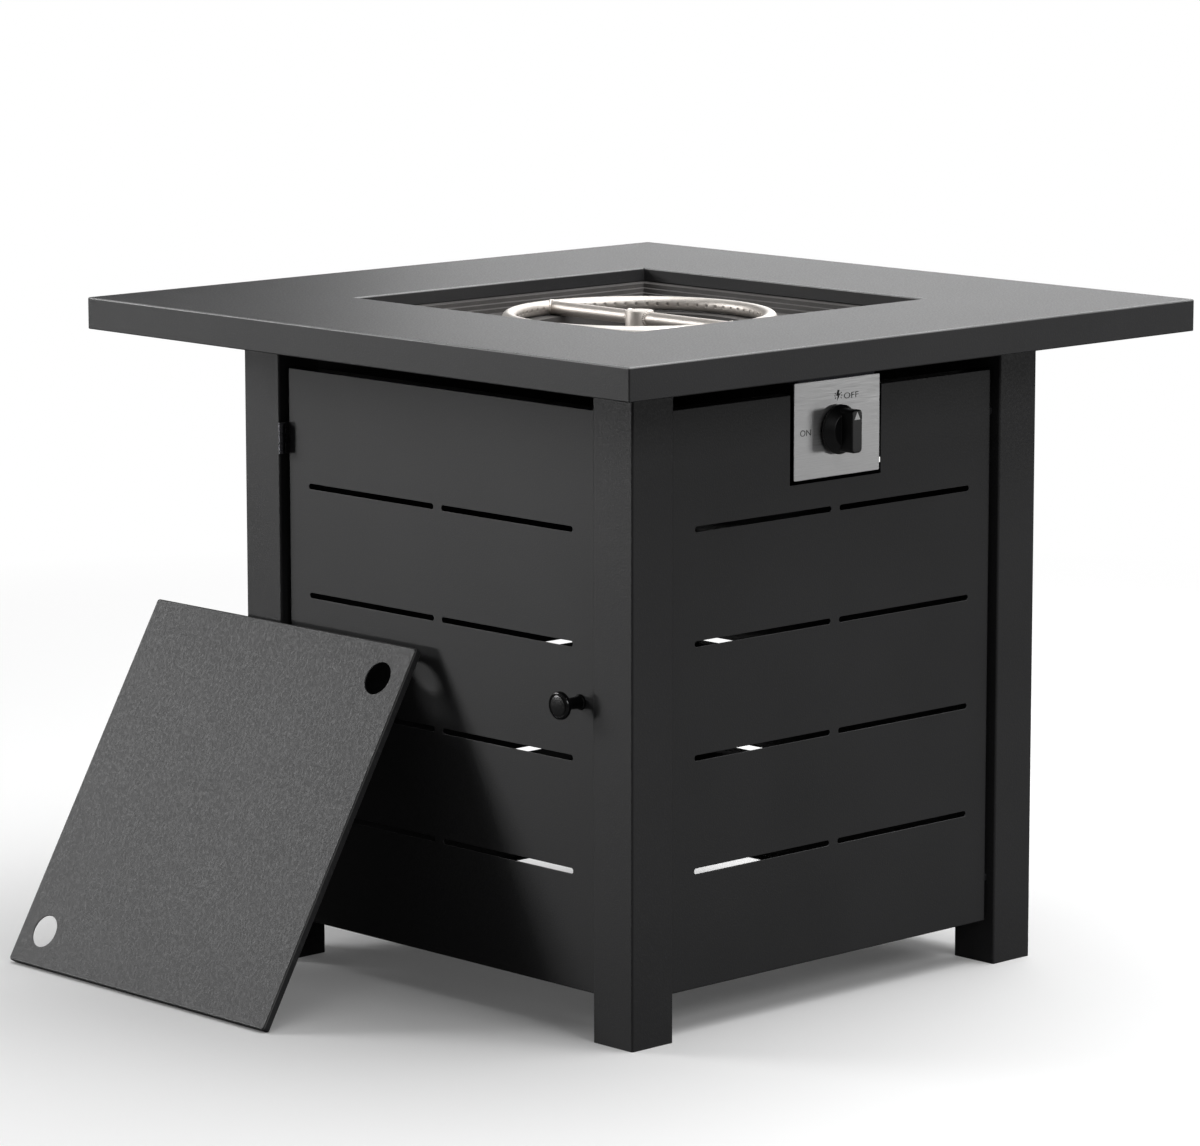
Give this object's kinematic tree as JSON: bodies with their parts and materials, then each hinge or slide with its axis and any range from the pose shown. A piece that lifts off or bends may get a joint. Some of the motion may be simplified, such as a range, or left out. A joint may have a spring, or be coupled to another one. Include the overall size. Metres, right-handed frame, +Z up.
{
  "type": "fire pit table",
  "caption": "Square gas fire pit table: folded steel top, slotted panels, hinged tank door, ring burner in a stepped bowl, push-and-turn valve and a loose lid.",
  "frame": {"origin": "on the floor at the centre of the four legs", "axes": "+Z up; the control panel faces -Y and the door faces -X"},
  "size_m": [0.7987, 0.7325, 0.611],
  "materials": {
    "top_steel": "grey hammered powder coat",
    "frame_steel": "black satin powder coat",
    "lid_steel": "grey hammered powder coat",
    "bowl_steel": "dark heat-resistant paint",
    "stainless": "brushed",
    "zinc": "zinc plated",
    "brass": "machined",
    "aluminium": "cast",
    "black_plastic": "gloss black",
    "matt_plastic": "matt black",
    "ceramic": "unglazed white",
    "magnet": "sintered"
  },
  "bodies": {
    "table": {"tabletop": "top_steel", "leg_front_left": "frame_steel", "leg_front_right": "frame_steel", "leg_back_left": "frame_steel", "leg_back_right": "frame_steel", "leg_plugs": "matt_plastic", "top_rail_front": "frame_steel", "top_rail_right": "frame_steel", "top_rail_back": "frame_steel", "top_rail_door": "frame_steel", "rail_bolts": "zinc", "tabletop_studs": "zinc", "tabletop_nuts": "zinc", "bowl_bearer_left": "frame_steel", "bowl_bearer_right": "frame_steel", "fire_bowl": "bowl_steel", "bowl_screws": "zinc", "burner_ring": "stainless", "burner_locknut": "zinc", "air_mixer": "zinc", "gas_orifice": "brass", "feed_pipe": "aluminium", "pipe_nuts": "brass", "gas_valve": "aluminium", "valve_screws": "zinc", "inlet_fitting": "brass", "valve_spring": "zinc", "piezo_igniter": "matt_plastic", "spark_electrode": "ceramic", "electrode_bushing": "zinc", "electrode_nut": "zinc", "control_plate": "stainless", "control_bracket": "zinc", "bracket_screws": "zinc", "control_panel": "frame_steel", "right_panel": "frame_steel", "back_panel": "frame_steel", "panel_spacers": "matt_plastic", "panel_screws": "zinc", "hinge_leaf_leg_upper": "frame_steel", "hinge_leaf_leg_lower": "frame_steel", "hinge_pin_upper": "zinc", "hinge_pin_lower": "zinc", "hinge_screws_leg": "zinc", "magnetic_catch": "matt_plastic", "catch_magnet": "magnet", "catch_screws": "zinc"},
    "door": {"door": "frame_steel", "hinge_leaf_door_upper": "frame_steel", "hinge_leaf_door_lower": "frame_steel", "hinge_screws_door": "zinc", "door_pull": "black_plastic", "door_pull_screw": "zinc", "catch_strike": "zinc"},
    "valve_push": {"stem_washer": "zinc"},
    "knob": {"control_knob": "black_plastic", "valve_stem": "zinc"},
    "lid": {"lid": "lid_steel"}
  },
  "joints": [
    {"name": "door_swing", "type": "hinge", "parent": "table", "child": "door", "pos_m": [-0.2555, 0.2028, 0.296], "axis": [0, 0, -1], "range_deg": [0, 110]},
    {"name": "lid_slide", "type": "slide", "parent": "table", "child": "lid", "axis": [-1, 0, 0], "range_m": [0, 0.8]},
    {"name": "knob_push", "type": "slide", "parent": "table", "child": "valve_push", "axis": [0, 1, 0], "range_m": [0, 0.0025], "stiffness_N_per_m": 800, "springref_m": -0.003, "deforming": ["valve_spring"]},
    {"name": "knob_turn", "type": "hinge", "parent": "valve_push", "child": "knob", "pos_m": [0, -0.2555, 0.516], "axis": [0, -1, 0], "range_deg": [0, 90]}
  ],
  "couplings": [
    {"joint": "lid_slide", "follows": "door_swing", "m_per_rad": 0.4}
  ]
}
